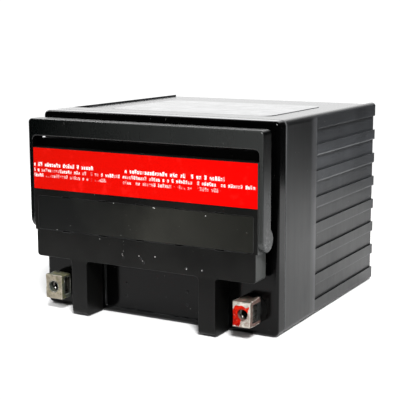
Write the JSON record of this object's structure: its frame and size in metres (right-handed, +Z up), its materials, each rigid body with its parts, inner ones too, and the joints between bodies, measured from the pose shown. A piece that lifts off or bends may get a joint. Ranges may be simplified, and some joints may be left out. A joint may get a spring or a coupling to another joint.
{
  "type": "motorcycle battery",
  "caption": "Sealed rectangular motorcycle battery lying on one long side, with ribbed ends, a folding carry handle and bolt terminals.",
  "frame": {"origin": "middle of the footprint on the ground, with the battery lying on one long side", "axes": "+X along the battery's length, from the negative to the positive terminal; -Y the way the terminals look (the battery's own up); +Z up, across the battery's width"},
  "size_m": [0.166, 0.175, 0.126],
  "materials": {
    "case_plastic": "satin moulded polypropylene",
    "lid_plastic": "glossy moulded polypropylene",
    "cover_plastic": "fine matt texture",
    "cap_plastic": "fine matt texture",
    "handle_plastic": "satin",
    "seal_rubber": "matt",
    "seal_resin": "cured resin",
    "arrestor": "porous",
    "negative_lead": "cast lead, dull",
    "positive_lead": "cast lead, bright",
    "grid_lead": "cast lead",
    "nut_steel": "zinc plated",
    "positive_plate": "lead dioxide paste",
    "negative_plate": "spongy lead paste",
    "glass_mat": "glass fibre mat",
    "strip_label": "printed vinyl",
    "side_label": "printed vinyl"
  },
  "bodies": {
    "battery": {"case": "case_plastic", "lid": "lid_plastic", "vent_cover": "cover_plastic", "cell_cap_strip": "cap_plastic", "valve_seats": "lid_plastic", "cap_seals": "seal_rubber", "vent_valves": "seal_rubber", "flame_arrestor": "arrestor", "negative_terminal": "negative_lead", "negative_bushing": "grid_lead", "negative_terminal_seal": "seal_resin", "negative_post": "grid_lead", "positive_terminal": "positive_lead", "positive_bushing": "grid_lead", "positive_terminal_seal": "seal_resin", "positive_post": "grid_lead", "positive_plates_1": "positive_plate", "negative_plates_1": "negative_plate", "separators_1": "glass_mat", "positive_plates_2": "positive_plate", "negative_plates_2": "negative_plate", "separators_2": "glass_mat", "positive_plates_3": "positive_plate", "negative_plates_3": "negative_plate", "separators_3": "glass_mat", "positive_plates_4": "positive_plate", "negative_plates_4": "negative_plate", "separators_4": "glass_mat", "positive_plates_5": "positive_plate", "negative_plates_5": "negative_plate", "separators_5": "glass_mat", "positive_plates_6": "positive_plate", "negative_plates_6": "negative_plate", "separators_6": "glass_mat", "intercell_welds": "grid_lead", "top_strip_label": "strip_label", "side_label": "side_label"},
    "handle": {"carry_handle": "handle_plastic"},
    "negative_nut": {"negative_nut": "nut_steel"},
    "positive_nut": {"positive_nut": "nut_steel"}
  },
  "joints": [
    {"name": "handle_swing", "type": "hinge", "parent": "battery", "child": "handle", "pos_m": [0, -0.0805, 0.0597], "axis": [1, 0, 0], "range_deg": [0, 95]},
    {"name": "negative_nut_slide", "type": "slide", "parent": "battery", "child": "negative_nut", "axis": [-1, 0, 0], "range_m": [-0.0108, 0.012]},
    {"name": "positive_nut_slide", "type": "slide", "parent": "battery", "child": "positive_nut", "axis": [1, 0, 0], "range_m": [-0.0108, 0.012]}
  ]
}
